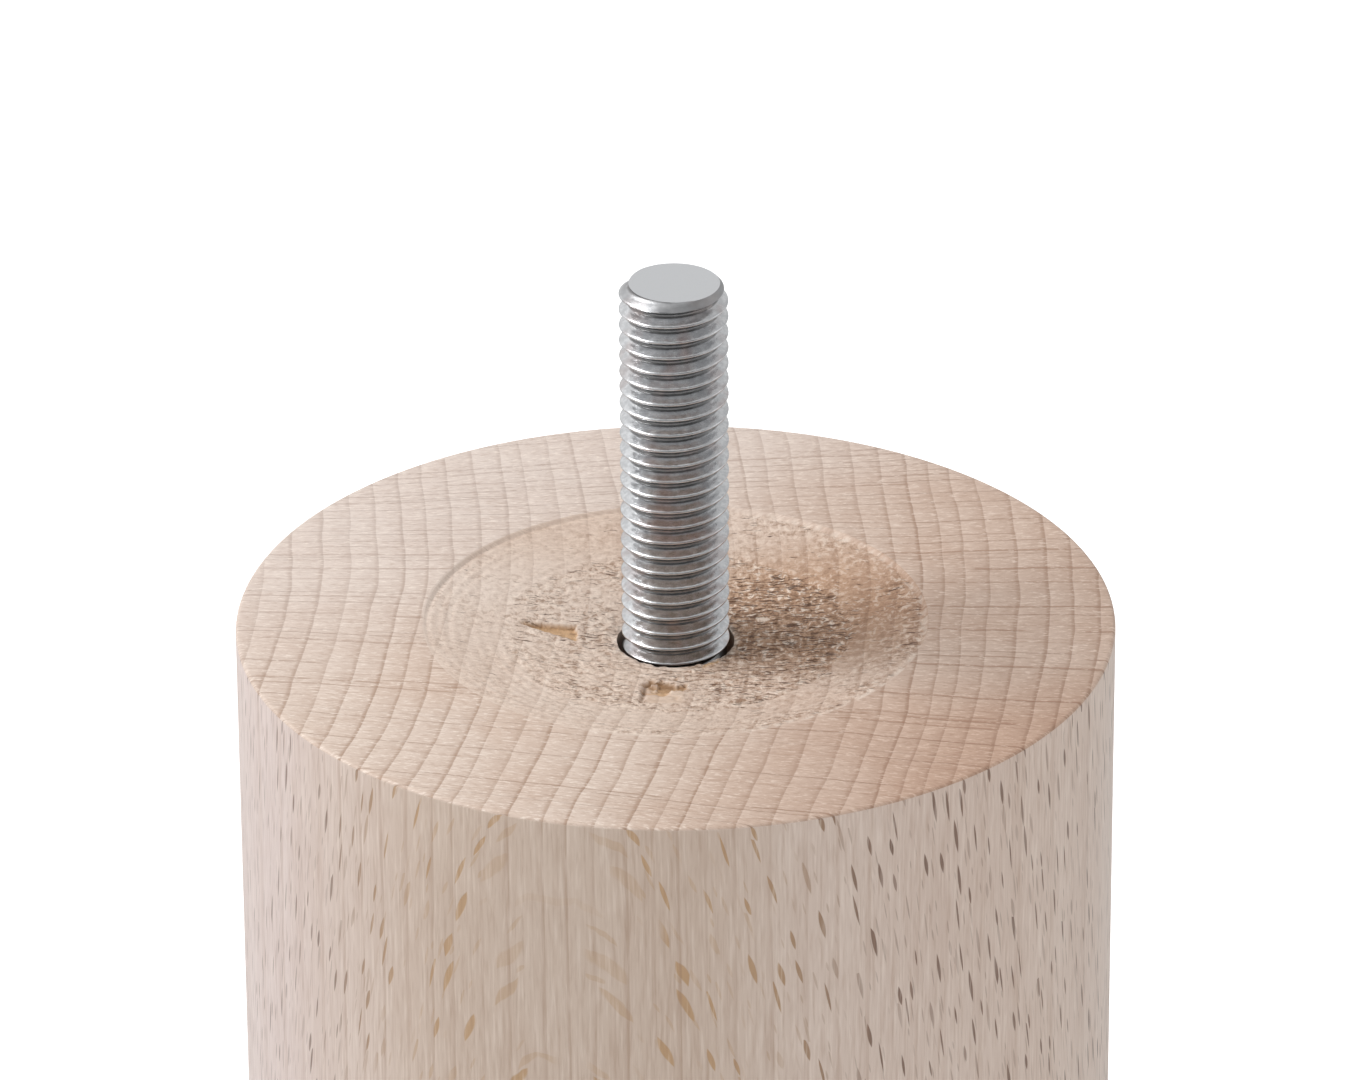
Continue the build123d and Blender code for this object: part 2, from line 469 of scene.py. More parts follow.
def place_in_mm(tree):
    """The point on the object, in millimetres."""
    coordinates = tree.nodes.new("ShaderNodeTexCoord")
    scaled = tree.nodes.new("ShaderNodeVectorMath")
    scaled.operation = "SCALE"
    scaled.inputs["Scale"].default_value = 1 / MM
    feed(tree, scaled.inputs[0], coordinates.outputs["Object"])
    return scaled.outputs[0]


def moved(tree, value, noise, reach):
    """A value pushed up or down by a noise, which is even about 0.5."""
    return calc(tree, "MULTIPLY_ADD", calc(tree, "SUBTRACT", noise, 0.5), reach, value)


# Where each of the tree's years ended, in millimetres from its heart
YEAR_ENDS = (
    122.2, 124.3, 126.4, 128.5, 130.7, 132.7, 134.7, 136.7, 138.5, 140.4, 142.5, 144.6,
    146.2, 148.5, 150.5, 153.1, 154.8, 156.8, 159.3, 161.3, 163.0, 164.8, 166.8, 169.1,
    171.4, 173.4, 175.3, 176.9, 178.4, 180.2, 182.4, 184.7, 186.6, 188.6, 190.8, 193.0,
)


def years_grown(tree, outward):
    """How many years of wood lie between the heart and a point, from where each year ended."""
    first, last = YEAR_ENDS[0], YEAR_ENDS[-1]
    count = len(YEAR_ENDS) - 1
    curve = tree.nodes.new("ShaderNodeFloatCurve")
    points = curve.mapping.curves[0].points
    for year, end in list(enumerate(YEAR_ENDS))[1:-1]:
        points.new((end - first) / (last - first), year / count)
    for each in points:
        each.handle_type = "VECTOR"
    curve.mapping.update()
    past_first = calc(tree, "SUBTRACT", outward, first)
    feed(tree, curve.inputs["Value"], calc(tree, "DIVIDE", past_first, last - first))
    return calc(tree, "MULTIPLY", curve.outputs["Value"], count)


# How far a ray runs out from the heart before it ends or starts again, in millimetres
RAY_RUN = 9.0


def rays(tree, place, cell, half_thick, half_tall, present, swelling):
    """Rays: sheets that run out from the heart, and whose cut ends are pointed spindles.

    place is where a point lies round the heart, up, and out from it. There is one ray to each
    cell of the given width and height, and it is there only for part of its way out, where a
    noise is above present. half_thick and half_tall each give the least and the most.
    """
    around, up, outward = place
    spot = point(tree, (around, cell[0]), (up, cell[1]), (0.0, 1.0))
    cells = tree.nodes.new("ShaderNodeTexVoronoi")
    cells.voronoi_dimensions = "2D"
    cells.inputs["Scale"].default_value = 1.0
    cells.inputs["Randomness"].default_value = 0.85
    feed(tree, cells.inputs["Vector"], spot)
    offset = tree.nodes.new("ShaderNodeVectorMath")
    offset.operation = "SUBTRACT"
    feed(tree, offset.inputs[0], spot)
    feed(tree, offset.inputs[1], cells.outputs["Position"])
    off_around, off_up = parts_of(tree, offset.outputs[0])[:2]
    lot_a, lot_b, lot_c = parts_of(tree, cells.outputs["Color"])
    thick = ease(tree, lot_a, 0.0, 1.0, half_thick[0] / cell[0], half_thick[1] / cell[0])
    thick = calc(tree, "MULTIPLY", thick, swelling)
    tall = ease(tree, lot_b, 0.0, 1.0, half_tall[0] / cell[1], half_tall[1] / cell[1])
    sideways = calc(tree, "DIVIDE", calc(tree, "ABSOLUTE", off_around), thick)
    upward = calc(tree, "DIVIDE", off_up, tall)
    reach = calc(tree, "MULTIPLY_ADD", upward, upward, sideways)
    run_spot = point(tree, (outward, RAY_RUN), (lot_a, 0.03), (lot_c, 0.03))
    along = cloud(tree, run_spot, detail=1.0)[0]
    there = ease(tree, calc(tree, "SUBTRACT", along, present), 0.0, 0.05)
    seen = calc(tree, "MULTIPLY", ease(tree, reach, 1.1, 0.7), there)
    return calc(tree, "MULTIPLY", seen, ease(tree, lot_c, 0.1, 0.6, 0.35, 1.0))


def new_group(name, inputs, outputs):
    """An empty node group with named inputs and outputs, which are values."""
    group = bpy.data.node_groups.new(name, "ShaderNodeTree")
    for label in inputs:
        group.interface.new_socket(name=label, in_out="INPUT", socket_type="NodeSocketFloat")
    for label in outputs:
        group.interface.new_socket(name=label, in_out="OUTPUT", socket_type="NodeSocketFloat")
    given = group.nodes.new("NodeGroupInput").outputs
    out = group.nodes.new("NodeGroupOutput").inputs
    return group, given, out


def beech_grain_group():
    """Solid beech in three dimensions: rings round the heart, rays out from it, fibres up it."""
    group, given, out = new_group(
        "beech_grain",
        ("Waver",),
        (
            "Season", "Late Line", "Ray", "Fine Ray", "Fibre", "Dashes", "Streaks", "Quarter",
            "Blush", "Rightward", "Backward", "Outward", "Around",
        ),
    )
    x, y, z = parts_of(group, place_in_mm(group))

    # A living tree's rings and rays waver a little
    slow_spot = point(group, (x, 17), (y, 17), (z, 70))
    slow_x, slow_y = parts_of(group, cloud(group, slow_spot)[1])[:2]
    quick_spot = point(group, (x, 2.2), (y, 2.2), (z, 25))
    quick_x, _, quick_z = parts_of(group, cloud(group, quick_spot)[1])
    slow_reach = 1.6
    from_heart_x = moved(group, moved(group, x, slow_x, slow_reach), quick_x, given["Waver"])
    from_heart_x = calc(group, "SUBTRACT", from_heart_x, HEART.x / MM)
    from_heart_y = calc(group, "SUBTRACT", moved(group, y, slow_y, slow_reach), HEART.y / MM)
    outward = calc(group, "MULTIPLY", from_heart_x, from_heart_x)
    outward = calc(group, "SQRT", calc(group, "MULTIPLY_ADD", from_heart_y, from_heart_y, outward))
    heart_angle = calc(group, "ARCTAN2", from_heart_y, from_heart_x)
    around = calc(group, "MULTIPLY", heart_angle, abs(HEART.x) / MM)

    # Each year's wood darkens slowly to its end, and the next one starts pale. Some years end
    # in a stronger line than others
    years = years_grown(group, outward)
    season = calc(group, "FRACT", years)
    chance = group.nodes.new("ShaderNodeTexWhiteNoise")
    chance.noise_dimensions = "1D"
    feed(group, chance.inputs["W"], calc(group, "FLOOR", years))
    line = calc(
        group, "MULTIPLY", ease(group, season, 0.80, 0.95), ease(group, season, 1.0, 0.975)
    )
    line_strength = ease(group, chance.outputs["Value"], 0.0, 1.0, 0.35, 1.0)
    line = calc(group, "MULTIPLY", line, line_strength)

    # How squarely the surface is cut along the rays: 1 on quarter-cut wood
    coordinates = group.nodes.new("ShaderNodeTexCoord")
    facing_x, facing_y = parts_of(group, coordinates.outputs["Normal"])[:2]
    level_x = calc(group, "MULTIPLY", facing_x, calc(group, "DIVIDE", from_heart_y, outward))
    level_y = calc(group, "MULTIPLY", facing_y, calc(group, "DIVIDE", from_heart_x, outward))
    quarter = calc(group, "ABSOLUTE", calc(group, "SUBTRACT", level_y, level_x))

    # The fibres lean a little towards -Y as they climb, and the rays lean with them. Cut across,
    # a ray looks thicker than it does on quarter-cut wood, and fewer of the broad ones are seen
    swelling = ease(group, quarter, 0.3, 0.95, 1.3, 1.0)
    lean_per_mm, seat_height = 0.1, 100.0
    above_seat = calc(group, "SUBTRACT", z, seat_height)
    lean = calc(group, "MULTIPLY_ADD", above_seat, lean_per_mm, around)
    lean = moved(group, lean, quick_z, 0.25)
    place = lean, z, outward
    broad = rays(
        group, place, cell=(0.85, 3.2), half_thick=(0.05, 0.105), half_tall=(0.75, 1.5),
        present=ease(group, quarter, 0.8, 0.97, 0.39, 0.33), swelling=swelling,
    )
    fine = rays(
        group, place, cell=(0.5, 2.3), half_thick=(0.03, 0.05), half_tall=(0.4, 1.0),
        present=0.42, swelling=swelling,
    )

    # Fibres and what they leave on a cut, each as wide, tall and deep as the sizes in its point
    strokes = cloud(group, point(group, (around, 0.2), (z, 2.4), (outward, 0.4)), 2.0, 0.6)[0]
    threads = cloud(group, point(group, (around, 0.8), (z, 14), (outward, 0.8)), 2.0, 0.6)[0]
    strokes_seen = ease(group, strokes, 0.48, 0.7)
    fibre = calc(group, "MULTIPLY_ADD", ease(group, threads, 0.35, 0.68), 0.6, strokes_seen)
    dashes = cloud(group, point(group, (around, 0.15), (z, 3.0), (outward, 0.65)), 2.0, 0.65)[0]
    streaks = cloud(group, point(group, (around, 0.16), (z, 4.0), (outward, 0.22)), 2.0, 0.6)[0]
    blush = cloud(group, point(group, (x, 9), (y, 9), (z, 40)))[0]
    rightward = ease(group, x, -22.0, 34.0)
    backward = calc(group, "SUBTRACT", y, calc(group, "MULTIPLY", x, 0.7))
    results = {
        "Season": season,
        "Late Line": line,
        "Ray": broad,
        "Fine Ray": fine,
        "Fibre": fibre,
        "Dashes": dashes,
        "Streaks": streaks,
        "Quarter": quarter,
        "Blush": blush,
        "Rightward": rightward,
        "Backward": ease(group, backward, 0.0, 34.0),
        "Outward": outward,
        "Around": around,
    }
    for name, value in results.items():
        feed(group, out[name], value)
    return group


beech_grain = beech_grain_group()
DEEP_BEECH = (0.33, 0.20, 0.13, 1)
PALE_BEECH = (0.88, 0.77, 0.68, 1)
RAY_END_ON = (0.21, 0.135, 0.10, 1)
RAY_QUARTER = (0.50, 0.32, 0.18, 1)
RAY_CUT_ACROSS = (0.36, 0.215, 0.14, 1)


def bare_beech(
    name, waver, pale, pink, season_dark, line_dark, fibre_dark, ray_dark, fine_dark, roughness
):
    """Bare beech with its own strength of rings, fibres and rays, ready for a finish to add to."""
    material = bpy.data.materials.new(name)
    material.use_nodes = True
    tree = material.node_tree
    shader = tree.nodes["Principled BSDF"]
    grain_node = tree.nodes.new("ShaderNodeGroup")
    grain_node.node_tree = beech_grain
    grain_node.inputs["Waver"].default_value = waver
    grain = grain_node.outputs
    colour = blend(tree, ease(tree, grain["Blush"], 0.35, 0.68), pale, pink)
    dark = calc(tree, "MULTIPLY", grain["Season"], season_dark)
    dark = calc(tree, "MULTIPLY_ADD", grain["Late Line"], line_dark, dark)
    dark = calc(tree, "MULTIPLY_ADD", grain["Fibre"], fibre_dark, dark)
    colour = blend(tree, dark, colour, DEEP_BEECH)
    quarter_cut = ease(tree, grain["Quarter"], 0.76, 0.97)
    ray_colour = blend(tree, quarter_cut, RAY_END_ON, RAY_QUARTER)
    ray_share = calc(tree, "MULTIPLY", grain["Ray"], ray_dark)
    fine_share = calc(tree, "MULTIPLY", grain["Fine Ray"], fine_dark)
    ray_share = calc(tree, "MAXIMUM", ray_share, fine_share)
    at_right = ease(tree, grain["Rightward"], 0.1, 0.8, 0.9, 1.0)
    colour = blend(tree, calc(tree, "MULTIPLY", ray_share, at_right), colour, ray_colour)
    shader.inputs["Specular IOR Level"].default_value = 0.4
    shader.inputs["Roughness"].default_value = roughness
    return material, tree, shader, grain, colour


def raised(tree, shader, height, depth_mm):
    """Gives a surface relief, from a height that runs from 0 to 1."""
    bump = tree.nodes.new("ShaderNodeBump")
    bump.inputs["Distance"].default_value = depth_mm * MM
    feed(tree, bump.inputs["Height"], height)
    feed(tree, shader.inputs["Normal"], bump.outputs["Normal"])


# How the side's colour turns cooler at the left, a painted sheen, and darker and warmer on the
# quarter-cut front, a painted shade
LEFT_PAINTED_SHEEN = (1.01, 1.03, 1.12, 1)
FRONT_PAINTED_SHADE = (0.955, 0.94, 0.905, 1)


def turned_side():
    """The side: sanded fine, so the rays show as flecks and the fibres barely."""
    material, tree, shader, grain, colour = bare_beech(
        "beech_turned_side", waver=0.15, pale=(0.645, 0.53, 0.455, 1),
        pink=(0.61, 0.49, 0.415, 1), season_dark=0.08, line_dark=0.0, fibre_dark=0.10,
        ray_dark=1.0, fine_dark=0.40, roughness=0.45,
    )
    # Painted sheen: the left flank, cut across the rays, is tinted cooler
    left_flank = calc(tree, "SUBTRACT", 1.0, grain["Rightward"])
    across_rays = ease(tree, grain["Quarter"], 0.95, 0.55)
    colour = tinted(tree, calc(tree, "MULTIPLY", left_flank, across_rays), colour, LEFT_PAINTED_SHEEN)
    # Painted shade: the quarter-cut front is tinted darker and warmer
    along_rays = ease(tree, grain["Quarter"], 0.85, 0.98)
    in_front = ease(tree, grain["Backward"], 0.1, 0.0)
    colour = tinted(tree, calc(tree, "MULTIPLY", along_rays, in_front), colour, FRONT_PAINTED_SHADE)
    squarely = ease(tree, grain["Quarter"], 0.55, 0.98, 0.14, 0.34)
    year_line = calc(tree, "MULTIPLY", grain["Late Line"], squarely)
    colour = blend(tree, year_line, colour, DEEP_BEECH)
    pale_streak = ease(tree, grain["Streaks"], 0.50, 0.72, 0.0, 0.24)
    colour = blend(tree, pale_streak, colour, PALE_BEECH)
    dark_streak = ease(tree, grain["Streaks"], 0.48, 0.30, 0.0, 0.24)
    colour = blend(tree, dark_streak, colour, DEEP_BEECH)
    feed(tree, shader.inputs["Base Color"], colour)
    shader.inputs["Sheen Weight"].default_value = 0.15
    shader.inputs["Sheen Roughness"].default_value = 0.4
    height = calc(tree, "MULTIPLY", grain["Fibre"], -0.6)
    height = calc(tree, "MULTIPLY_ADD", grain["Ray"], -0.7, height)
    raised(tree, shader, height, depth_mm=0.015)
    return material


# How the end grain's colour turns greyer and paler at the back, a painted reflection of the white
# backdrop, and redder at the front right
BACK_PAINTED_REFLECTION = (0.78, 0.73, 0.71, 1)
RIGHT_TINT = (0.79, 0.67, 0.60, 1)


def end_grain(name, line_dark, ray_dark, dashes_pale, relief_mm, roughness):
    """Beech cut across: each year's edge stands a little proud, and the rays are fine lines."""
    material, tree, shader, grain, colour = bare_beech(
        name, waver=0.12, pale=(0.69, 0.565, 0.48, 1), pink=(0.655, 0.515, 0.425, 1),
        season_dark=0.30, line_dark=line_dark, fibre_dark=0.05, ray_dark=0.0, fine_dark=0.0,
        roughness=roughness,
    )
    fine_rays = calc(tree, "MULTIPLY", grain["Fine Ray"], 0.5)
    rays_seen = calc(tree, "MAXIMUM", grain["Ray"], fine_rays)
    colour = blend(tree, calc(tree, "MULTIPLY", rays_seen, ray_dark), colour, RAY_CUT_ACROSS)
    # Painted reflection: the back turns greyer and paler
    colour = blend(tree, calc(tree, "MULTIPLY", grain["Backward"], 0.35), colour, BACK_PAINTED_REFLECTION)
    pale_dash = ease(tree, grain["Dashes"], 0.55, 0.68, 0.0, dashes_pale)
    colour = blend(tree, pale_dash, colour, PALE_BEECH)
    dark_dash = ease(tree, grain["Dashes"], 0.47, 0.30, 0.0, dashes_pale * 0.5)
    colour = blend(tree, dark_dash, colour, DEEP_BEECH)
    x, y, z = parts_of(tree, place_in_mm(tree))
    redder = calc(tree, "MULTIPLY", ease(tree, x, -8, 26), ease(tree, y, -4, -20, 0.5, 1.1))
    not_back = calc(tree, "MULTIPLY_ADD", grain["Backward"], -0.5, 1.0)
    colour = tinted(tree, calc(tree, "MULTIPLY", redder, not_back), colour, RIGHT_TINT)
    height = calc(tree, "MULTIPLY", grain["Season"], 0.8)
    height = calc(tree, "MULTIPLY_ADD", grain["Dashes"], 0.7, height)
    height = calc(tree, "MULTIPLY_ADD", grain["Ray"], -0.8, height)
    raised(tree, shader, height, relief_mm)
    return material, tree, shader, grain, colour


def sawn_seat():
    """The flat ring of the seat, cut cleanly across the grain."""
    material, tree, shader, _, colour = end_grain(
        "beech_end_grain", line_dark=0.42, ray_dark=0.62, dashes_pale=0.6, relief_mm=0.04,
        roughness=0.5,
    )
    feed(tree, shader.inputs["Base Color"], colour)
    return material


def mesh_field(tree, name):
    """A value that the mesh carries at each of its points."""
    node = tree.nodes.new("ShaderNodeAttribute")
    node.attribute_name = name
    return node.outputs["Fac"]


# The dish's colours: a browning that is partly torn wood and partly a painted shadow of the bolt,
# painted highlights on stubs of fibre, painted shade in the gaps and cracks between them, newly
# bared wood, the painted shade and dark streaks of a break, and the pale chips of its edges, with
# a painted highlight on the frayed rim's fuzz
BROWN_AND_SHADOW_TINT = (0.74, 0.59, 0.47, 1)
STUB_HIGHLIGHT = (0.90, 0.77, 0.66, 1)
GAP_SHADE = (0.24, 0.13, 0.07, 1)
CRACK_SHADE = (0.11, 0.05, 0.025, 1)
BARED = (0.56, 0.345, 0.18, 1)
BREAK_SHADE_AND_STREAK = (0.17, 0.08, 0.03, 1)
PALE_CHIP_AND_HIGHLIGHT = (0.88, 0.79, 0.70, 1)


def torn_dish():
    """The dish, where the cutter tore the fibres: matt, browner by the bolt, painted shade in its
    pits.
    """
    material, tree, shader, grain, colour = end_grain(
        "beech_torn_dish", line_dark=0.26, ray_dark=0.35, dashes_pale=0.5, relief_mm=0.05,
        roughness=0.62,
    )
    x, y, z = parts_of(tree, place_in_mm(tree))
    outward, around, torn = grain["Outward"], grain["Around"], mesh_field(tree, "torn")
    # Painted light: the dish is paler at the left, where its slope faces away from the key light
    painted_light_left = calc(tree, "SUBTRACT", 1.0, grain["Rightward"])
    colour = blend(tree, calc(tree, "MULTIPLY", painted_light_left, 0.3), colour, PALE_BEECH)

    # Browner to the right of the bolt, partly torn grain and partly a painted shadow of the bolt,
    # and a little at the back left
    across = calc(tree, "SUBTRACT", x, 10.0)
    deep = calc(tree, "MULTIPLY", calc(tree, "SUBTRACT", y, 3.5), 1.08)
    away = calc(tree, "MULTIPLY_ADD", across, across, calc(tree, "MULTIPLY", deep, deep))
    brown_and_shadow_patch = ease(tree, calc(tree, "SQRT", away), 15.0, 4.0, 0.03, 0.85)
    brown = calc(tree, "MULTIPLY_ADD", torn, 0.3, brown_and_shadow_patch)
    back_left = calc(tree, "MULTIPLY", ease(tree, x, 3, -5), ease(tree, y, 6, 15, 0.0, 0.32))
    colour = tinted(tree, calc(tree, "ADD", brown, back_left), colour, BROWN_AND_SHADOW_TINT)

    # Painted highlights on the crumbs and stubs of fibre, and painted shade in the dark gaps
    # between them and in the cracks
    bent = cloud(tree, point(tree, (x, 1.1), (y, 1.1), (z, 1.1)), detail=1.0)[0]
    crumb_spot = point(tree, (outward, 0.6), (moved(tree, around, bent, 0.9), 0.6), (0.0, 1.0))
    crumbs = cloud(tree, crumb_spot, 2.0, 0.75)[0]
    stub_highlight = calc(tree, "MULTIPLY", ease(tree, crumbs, 0.51, 0.64), torn)
    colour = blend(tree, calc(tree, "MULTIPLY", stub_highlight, 0.75), colour, STUB_HIGHLIGHT)
    gap = calc(tree, "MULTIPLY", ease(tree, crumbs, 0.49, 0.36), torn)
    colour = blend(tree, calc(tree, "MULTIPLY", gap, 0.9), colour, GAP_SHADE)
    crack_spot = point(tree, (outward, 1.5), (moved(tree, around, bent, 0.6), 0.17), (0.0, 1.0))
    cracks = cloud(tree, crack_spot, 2.0, 0.6)[0]
    cracked = ease(tree, moved(tree, cracks, torn, 0.2), 0.645, 0.69)
    colour = blend(tree, calc(tree, "MULTIPLY", cracked, 0.9), colour, CRACK_SHADE)

    for field, strength, look in (
        ("bare", 0.9, BARED), ("shade", 0.7, BREAK_SHADE_AND_STREAK), ("chips", 0.9, PALE_CHIP_AND_HIGHLIGHT)
    ):
        share = calc(tree, "MULTIPLY", mesh_field(tree, field), strength)
        colour = blend(tree, share, colour, look)
    feed(tree, shader.inputs["Base Color"], colour)
    height = calc(tree, "SUBTRACT", crumbs, 0.5)
    height = calc(tree, "MULTIPLY", height, calc(tree, "MULTIPLY", torn, 3.0))
    height = calc(tree, "SUBTRACT", height, cracked)
    height = calc(tree, "MULTIPLY_ADD", grain["Season"], 0.5, height)
    raised(tree, shader, height, depth_mm=0.09)
    return material


# Which face has which finish, by where its centre lies. The foot is cut like the seat
for material in (turned_side(), sawn_seat(), torn_dish()):
    leg_mesh.materials.append(material)
SIDE, SEAT, DISH = 0, 1, 2
SEAT_STARTS = SEAT_HEIGHT - 0.15 * MM
FOOT_ENDS = 0.05 * MM
centre = np.empty(len(leg_mesh.polygons) * 3)
leg_mesh.polygons.foreach_get("center", centre)
x, y, z = centre.reshape(-1, 3).T
finish_index = np.where((z > SEAT_STARTS) | (z < FOOT_ENDS), SEAT, SIDE)
in_middle = (np.hypot(x, y) < DISH_RADIUS) & (z >= FOOT_ENDS)
finish_index = np.where(in_middle, DISH, finish_index)
leg_mesh.polygons.foreach_set("material_index", finish_index.astype(np.int32))
leg_mesh.update()
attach(leg, "root")
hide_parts("leg_body")


# The hanger bolt: zinc-plated steel, rolled in one piece. Its machine thread stands out of the
# seat for the furniture's insert nut. Below are a plain neck and a coarse wood thread, which is
# driven into the leg's end grain.
bolt_low, bolt_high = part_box("hanger_bolt")
BOLT_TOP = bolt_high.z
BOLT_TIP = bolt_low.z
CREST_RADIUS = 4.0 * MM
PITCH = 1.25 * MM
THREAD_DEPTH = 0.6134 * PITCH
ROOT_RADIUS = CREST_RADIUS - THREAD_DEPTH
END_FLAT_RADIUS = 3.4 * MM
END_BEVEL_SLOPE = 0.95
CREST_HEIGHT = 101.0 * MM
RUNOUT_TOP = 98.4 * MM
RUNOUT_FOOT = HOLE_FLOOR + 0.1 * MM

# One turn of the machine thread, as rolled: a round crest, straight flanks and a round root
MACHINE_FORM = [
    (0.000, 1.00), (0.045, 0.985), (0.080, 0.92), (0.120, 0.80), (0.250, 0.42), (0.380, 0.06),
    (0.430, 0.01), (0.500, 0.00), (0.570, 0.01), (0.620, 0.06), (0.750, 0.42), (0.880, 0.80),
    (0.920, 0.92), (0.955, 0.985),
]

# The neck's lower end, and the point's from a ring just above its tip, by radius and height
NECK_END = [(NECK_RADIUS, NECK_FLOOR + 2 * MM), (NECK_RADIUS, NECK_FLOOR)]
POINT_END = [(0.7 * MM, BOLT_TIP + 1.12 * MM), (0.3 * MM, BOLT_TIP)]


def machine_radius(height, depth):
    """The machine thread's radius: cut back at the bevelled end, run out to the neck below."""
    thread = ROOT_RADIUS + (CREST_RADIUS - ROOT_RADIUS) * depth
    full = smooth(RUNOUT_FOOT, RUNOUT_TOP, height)
    thread = NECK_RADIUS + (thread - NECK_RADIUS) * full
    return np.minimum(thread, END_FLAT_RADIUS + END_BEVEL_SLOPE * (BOLT_TOP - height))


bolt_sheet = bmesh.new()
threaded_surface(
    bolt_sheet, PITCH, MACHINE_FORM, CREST_HEIGHT, HOLE_FLOOR, BOLT_TOP, machine_radius
)
wood_thread_surface(bolt_sheet, 0.0)
top_rim = [
    edge for edge in bolt_sheet.edges
    if edge.is_boundary and edge.verts[0].co.z > BOLT_TOP - HEIGHT_SLACK
]
bmesh.ops.holes_fill(bolt_sheet, edges=top_rim, sides=0)
turned_surface(bolt_sheet, NECK_END, THREAD_COLUMNS)
join_rims(bolt_sheet, (NECK_RADIUS, HOLE_FLOOR), NECK_END[0])
join_rims(bolt_sheet, NECK_END[1], (WOOD_CORE_RADIUS, NECK_FLOOR))
turned_surface(bolt_sheet, POINT_END, THREAD_COLUMNS)
join_rims(bolt_sheet, (WOOD_CORE_RADIUS, POINT_TOP), POINT_END[0])
cap_rim(bolt_sheet, *POINT_END[1])
bolt, bolt_mesh = finished_mesh(bolt_sheet, "zinc_hanger_bolt", sharp_angle=42)

# The plating's colours: its two greys, painted shade for the thread's roots and under flanks and
# the bolt in the hole, a painted reflection of the wood, and painted shade for the end's bevel
ZINC_GREY = (0.57, 0.58, 0.595, 1)
ZINC_BRIGHT = (0.70, 0.71, 0.725, 1)
ZINC_PAINTED_SHADE = (0.06, 0.057, 0.055, 1)
ZINC_WOOD_REFLECTION = (0.45, 0.36, 0.34, 1)
ZINC_END_SHADE = (0.22, 0.22, 0.225, 1)


def zinc_plate():
    """Bright zinc on rolled steel: nearly a mirror, with a faint grey mottle."""
    material = bpy.data.materials.new("zinc_plated_steel")
    material.use_nodes = True
    tree = material.node_tree
    shader = tree.nodes["Principled BSDF"]
    x, y, z = parts_of(tree, place_in_mm(tree))
    mottle = cloud(tree, point(tree, (x, 0.6), (y, 0.6), (z, 0.3)), 3.0, 0.6)[0]

    # Painted shade: the thread's under flanks, its roots and the bolt down in the hole are
    # darkened
    coordinates = tree.nodes.new("ShaderNodeTexCoord")
    facing_up = parts_of(tree, coordinates.outputs["Normal"])[2]
    from_axis = calc(tree, "SQRT", calc(tree, "MULTIPLY_ADD", x, x, calc(tree, "MULTIPLY", y, y)))
    threaded = ease(tree, facing_up, 0.98, 0.93)
    patch = calc(tree, "MULTIPLY", ease(tree, mottle, 0.38, 0.66), threaded)
    colour = blend(tree, patch, ZINC_GREY, ZINC_BRIGHT)
    root = calc(tree, "MULTIPLY", ease(tree, from_axis, 3.40, 3.27, 0.0, 0.75), threaded)
    painted_shade = calc(tree, "MAXIMUM", ease(tree, facing_up, 0.0, -0.35, 0.0, 0.3), root)
    painted_shade = calc(tree, "MAXIMUM", painted_shade, ease(tree, z, 98.5, 97.7, 0.0, 0.75))
    colour = blend(tree, painted_shade, colour, ZINC_PAINTED_SHADE)
    # Painted reflection of the wood: faint reddish patches on the thread
    wood_reflection = cloud(tree, point(tree, (x, 2.5), (y, 2.5), (z, 5.0)), 2.0)[0]
    wood_reflection = calc(tree, "MULTIPLY", ease(tree, wood_reflection, 0.5, 0.66, 0.0, 0.4), threaded)
    colour = blend(tree, wood_reflection, colour, ZINC_WOOD_REFLECTION)

    # The bevel of the cut end is rougher than the thread, and painted darker, a painted shade that
    # dims the key light's glare on it
    cut_end = calc(tree, "MULTIPLY", ease(tree, z, 126.6, 126.9), threaded)
    colour = blend(tree, calc(tree, "MULTIPLY", cut_end, 0.6), colour, ZINC_END_SHADE)
    feed(tree, shader.inputs["Base Color"], colour)
    even = ease(tree, mottle, 0.3, 0.75, 0.18, 0.27)
    feed(tree, shader.inputs["Roughness"], calc(tree, "MULTIPLY_ADD", cut_end, 0.2, even))
    shader.inputs["Metallic"].default_value = 1.0
    raised(tree, shader, calc(tree, "MULTIPLY", mottle, threaded), depth_mm=0.02)
    return material


bolt_mesh.materials.append(zinc_plate())
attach(bolt, "root")
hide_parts("hanger_bolt")


# The surroundings: a pale floor that runs far back, so that the background stays white. It
# keeps the leg's soft shadow.
FLOOR_REACH = 4.0
FLOOR_DROP = 0.05 * MM
CAMERA_GLOW = 0.65
MIRROR_GLOW = 0.1
floor_mesh = bpy.data.meshes.new("studio_floor")
floor_corners = [
    (side_x * FLOOR_REACH, side_y * FLOOR_REACH, 0)
    for side_x, side_y in ((-1, -1), (1, -1), (1, 1), (-1, 1))
]
floor_mesh.from_pydata(floor_corners, [], [(0, 1, 2, 3)])
floor = bpy.data.objects.new("studio_floor", floor_mesh)
floor.location.z = -FLOOR_DROP
bpy.context.scene.collection.objects.link(floor)


def white_floor():
    """Matt white, which glows enough for the camera to join the white background."""
    material = bpy.data.materials.new("white_floor")
    material.use_nodes = True
    tree = material.node_tree
    shader = tree.nodes["Principled BSDF"]
    shader.inputs["Base Color"].default_value = (0.8, 0.8, 0.8, 1)
    shader.inputs["Roughness"].default_value = 0.9
    shader.inputs["Specular IOR Level"].default_value = 0.0
    paths = tree.nodes.new("ShaderNodeLightPath")
    shader.inputs["Emission Color"].default_value = (1, 1, 1, 1)
    glow = calc(tree, "MULTIPLY", paths.outputs["Is Camera Ray"], CAMERA_GLOW)
    glow = calc(tree, "MULTIPLY_ADD", paths.outputs["Is Glossy Ray"], MIRROR_GLOW, glow)
    feed(tree, shader.inputs["Emission Strength"], glow)
    return material


floor_mesh.materials.append(white_floor())

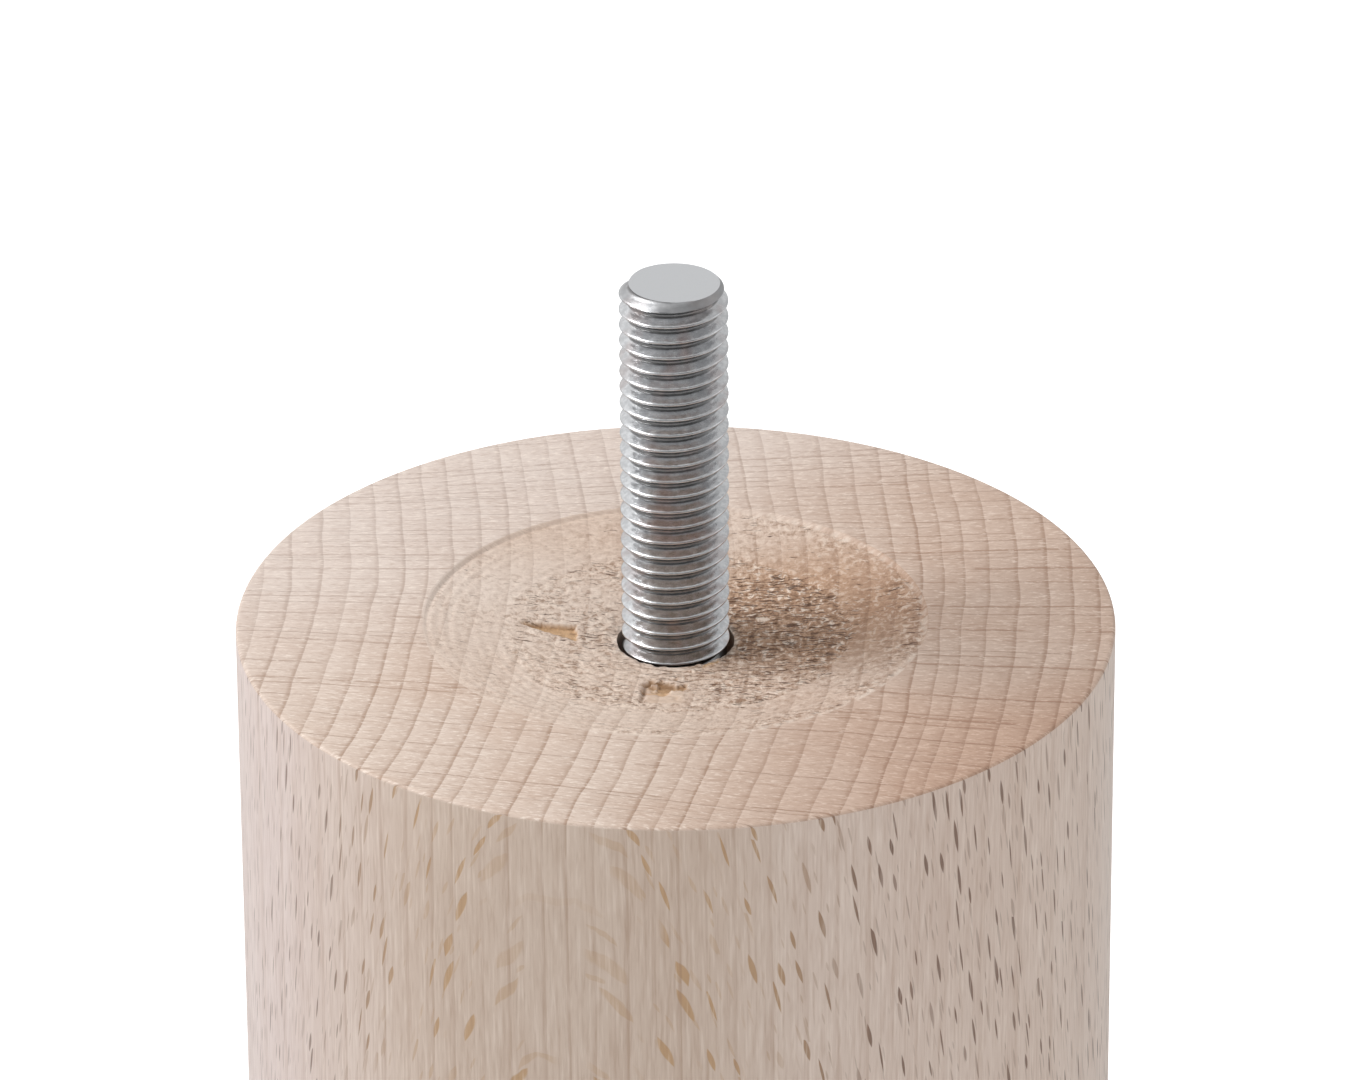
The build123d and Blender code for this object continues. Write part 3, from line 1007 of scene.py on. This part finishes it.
# The white tent round it all lights the leg most from the front right. Metal mirrors the tent
# bright at the left and behind, a little less overhead and at the right, and dim in front.
world = bpy.data.worlds.new("white_tent")
bpy.context.scene.world = world
world.use_nodes = True
tree = world.node_tree
background = tree.nodes["Background"]
background.inputs["Color"].default_value = (1, 1, 1, 1)
paths = tree.nodes.new("ShaderNodeLightPath")
directions = tree.nodes.new("ShaderNodeTexCoord")
towards_x, towards_y, towards_z = parts_of(tree, directions.outputs["Generated"])
mirrored = ease(tree, towards_y, -0.85, -0.15, 0.25, 1.0)
mirrored = calc(tree, "MULTIPLY", mirrored, ease(tree, towards_y, 0.7, 0.95, 1.0, 0.9))
mirrored = calc(tree, "MULTIPLY", mirrored, ease(tree, towards_z, 0.5, 0.95, 1.0, 0.8))
mirrored = calc(tree, "MULTIPLY", mirrored, ease(tree, towards_x, 0.1, 0.6, 1.0, 0.65))
front_right = calc(tree, "MULTIPLY_ADD", towards_x, 0.64, calc(tree, "MULTIPLY", towards_y, -0.77))
lit = ease(tree, front_right, 0.1, 1.0, 0.48, 1.24)
brighter = calc(tree, "SUBTRACT", mirrored, lit)
level = calc(tree, "MULTIPLY", paths.outputs["Is Glossy Ray"], brighter)
level = calc(tree, "ADD", level, lit)
level = calc(tree, "MAXIMUM", level, paths.outputs["Is Camera Ray"])
feed(tree, background.inputs["Strength"], level)

# The middle of the seat, which the lights and the camera face
TARGET = Vector((0, 0, 0.1))


def soft_box(name, distance, azimuth, elevation, width, height, level):
    """A soft light that faces the seat. level is what it adds to a white surface facing it."""
    a, e = math.radians(azimuth), math.radians(elevation)
    lamp = bpy.data.lights.new(name, "AREA")
    lamp.shape, lamp.size, lamp.size_y = "RECTANGLE", width, height
    lamp.energy = level * (math.pi * distance) ** 2
    box = bpy.data.objects.new(name, lamp)
    towards = Vector((math.cos(e) * math.cos(a), math.cos(e) * math.sin(a), math.sin(e)))
    box.location = TARGET + distance * towards
    box.rotation_euler = (TARGET - box.location).to_track_quat("-Z", "Y").to_euler()
    bpy.context.scene.collection.objects.link(box)


soft_box(
    "key_light", distance=0.45, azimuth=174, elevation=42, width=0.3, height=0.15, level=0.76
)
soft_box(
    "right_light", distance=0.7, azimuth=10, elevation=20, width=0.3, height=0.5, level=0.04
)

# The camera stands square to the leg, above it, and looks a little over its seat
DISTANCE = 0.715
ELEVATION = math.radians(27.3)
LOOK_OVER = math.radians(0.464)
ROLL = math.radians(-0.37)
PICTURE_WIDTH = 1350
FOCAL_PIXELS = 9674
camera_data = bpy.data.cameras.new("camera")
camera_data.sensor_fit = "HORIZONTAL"
camera_data.sensor_width = 36.0
camera_data.lens = FOCAL_PIXELS / PICTURE_WIDTH * camera_data.sensor_width
camera_data.clip_start = 0.05
camera = bpy.data.objects.new("camera", camera_data)
camera.location = TARGET + DISTANCE * Vector((0, -math.cos(ELEVATION), math.sin(ELEVATION)))
tilt = Matrix.Rotation(math.radians(90) - ELEVATION + LOOK_OVER, 3, "X")
camera.rotation_euler = (tilt @ Matrix.Rotation(ROLL, 3, "Z")).to_euler()
bpy.context.scene.collection.objects.link(camera)
bpy.context.scene.camera = camera

bpy.context.scene.view_settings.view_transform = "Standard"
